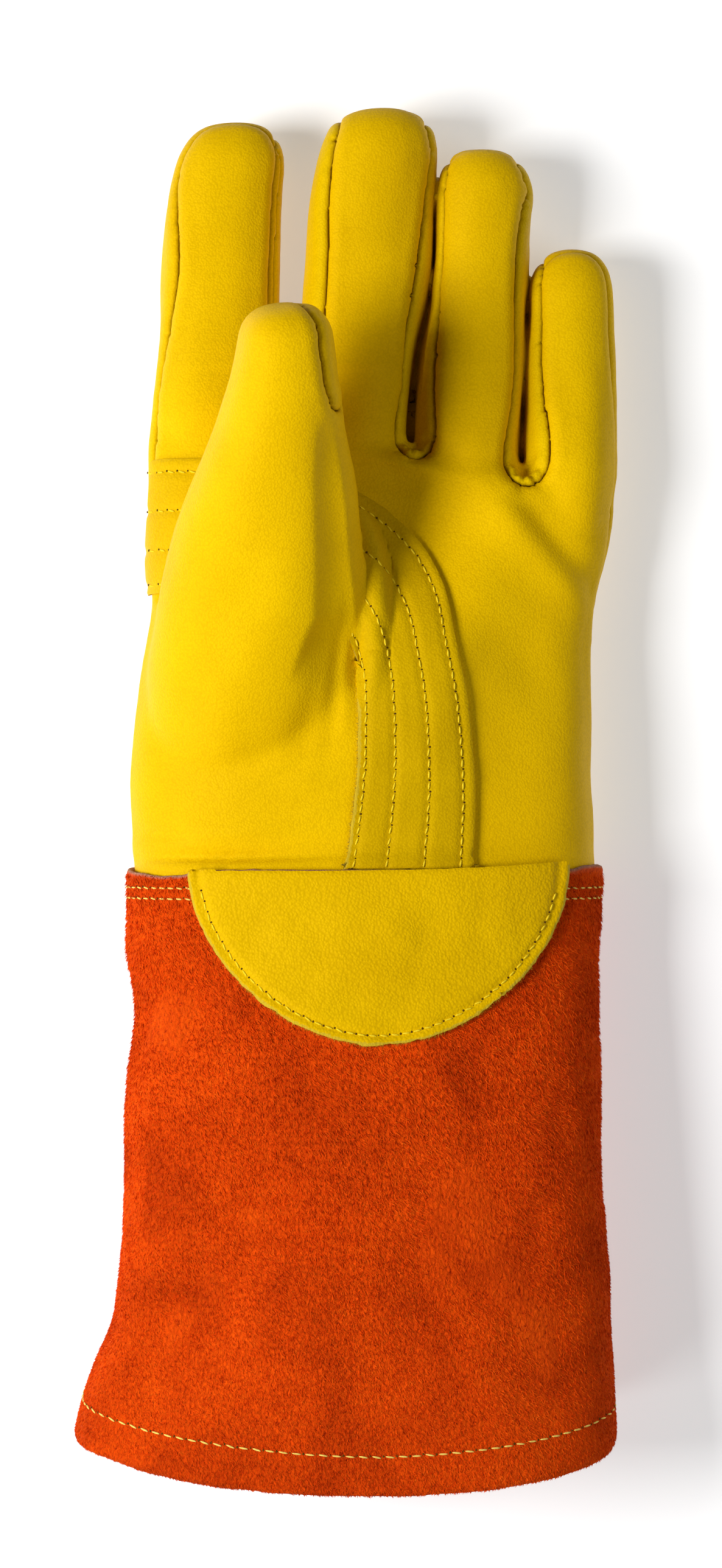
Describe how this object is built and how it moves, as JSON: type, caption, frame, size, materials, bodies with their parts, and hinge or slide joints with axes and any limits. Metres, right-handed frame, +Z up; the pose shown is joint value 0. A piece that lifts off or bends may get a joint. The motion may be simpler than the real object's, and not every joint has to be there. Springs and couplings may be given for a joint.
{
  "type": "leather protector glove",
  "caption": "Left-hand leather protector glove with a suede gauntlet cuff, lying palm up, with a crescent patch round the thumb and a half-moon patch over the wrist seam.",
  "frame": {"origin": "on the surface that the glove lies on, under the wrist stitching and midway across the wrist", "axes": "+X towards the little finger's side, +Y along the hand towards the fingertips, +Z up out of the palm"},
  "size_m": [0.1387, 0.3481, 0.0685],
  "materials": {
    "grain_leather": "satin",
    "patch_leather": "satin",
    "suede": "matte"
  },
  "bodies": {
    "root": {"palm_panel": "grain_leather", "back_panel": "grain_leather", "fourchette_index_middle": "grain_leather", "fourchette_middle_ring": "grain_leather", "fourchette_ring_little": "grain_leather", "thumb_front": "grain_leather", "thumb_back": "grain_leather", "palm_patch": "patch_leather", "wrist_patch": "patch_leather", "cuff": "suede"}
  },
  "joints": []
}
